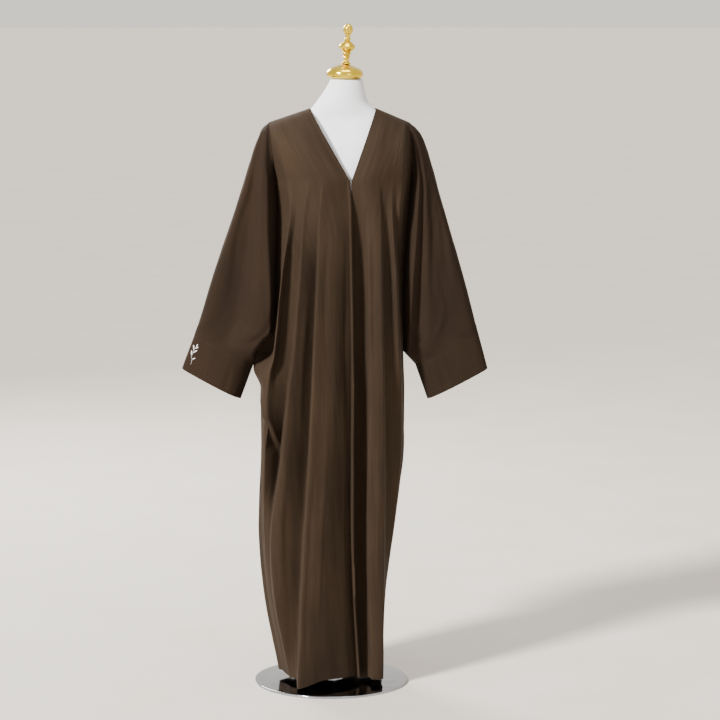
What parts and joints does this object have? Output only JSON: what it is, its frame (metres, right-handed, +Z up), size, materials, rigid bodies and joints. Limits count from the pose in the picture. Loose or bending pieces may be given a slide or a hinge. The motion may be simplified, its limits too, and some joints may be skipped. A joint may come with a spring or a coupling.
{
  "type": "open-front abaya on a dress form",
  "caption": "Long brown open-front abaya with wide sleeves and a V neck, hanging in soft folds on a limbless white dress form with a gilt finial and a round polished foot.",
  "frame": {"origin": "centre of the round foot's underside", "axes": "+Z up, -Y towards the garment's front, +X towards the wearer's left"},
  "size_m": [0.752, 0.38, 1.6282],
  "materials": {
    "cloth": "soft suede-like nap, dark brown",
    "form_cover": "smooth white stretch cover",
    "gilt": "polished gilt",
    "polished_steel": "polished, mirror-like"
  },
  "bodies": {
    "root": {"front_right": "cloth", "front_left": "cloth", "back": "cloth", "sleeve_right": "cloth", "sleeve_left": "cloth", "sleeve_end_right": "cloth", "sleeve_end_left": "cloth", "form_torso": "form_cover", "neck_cap": "gilt", "finial": "gilt", "pole": "polished_steel", "pole_socket": "polished_steel", "base_plate": "polished_steel"}
  },
  "joints": []
}
